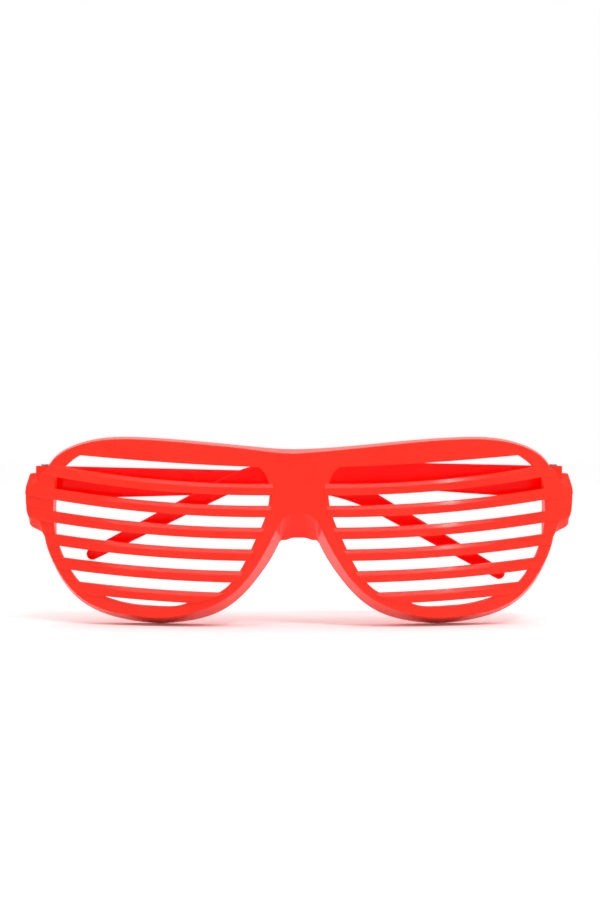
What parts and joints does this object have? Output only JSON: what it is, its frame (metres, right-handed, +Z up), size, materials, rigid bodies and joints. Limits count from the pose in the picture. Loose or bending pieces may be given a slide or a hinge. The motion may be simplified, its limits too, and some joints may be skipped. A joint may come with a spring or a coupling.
{
  "type": "slatted novelty glasses",
  "caption": "Folding party glasses with swept level slats in place of lenses, a drafted rim flange and arms on pinned hinges.",
  "frame": {"origin": "centre of the bounding box's bottom face, arms folded, under the lower rim edges that the glasses stand on", "axes": "+X towards the wearer's left, +Y back from the front towards the wearer, +Z up as worn"},
  "size_m": [0.1498, 0.0318, 0.0507],
  "materials": {
    "front_plastic": "gloss, slightly translucent",
    "arm_plastic": "gloss, slightly translucent",
    "hinge_pin": "bright"
  },
  "bodies": {
    "front": {"front_frame": "front_plastic", "hinge_pin_left": "hinge_pin", "hinge_pin_right": "hinge_pin"},
    "left_arm": {"temple_left": "arm_plastic"},
    "right_arm": {"temple_right": "arm_plastic"}
  },
  "joints": [
    {"name": "left_hinge", "type": "hinge", "parent": "front", "child": "left_arm", "pos_m": [0.0702, 0.00796, 0.03796], "axis": [0, 0, -1], "range_deg": [0, 91.5]},
    {"name": "right_hinge", "type": "hinge", "parent": "front", "child": "right_arm", "pos_m": [-0.0702, 0.00796, 0.03796], "axis": [0, 0, 1], "range_deg": [0, 88.5]}
  ]
}
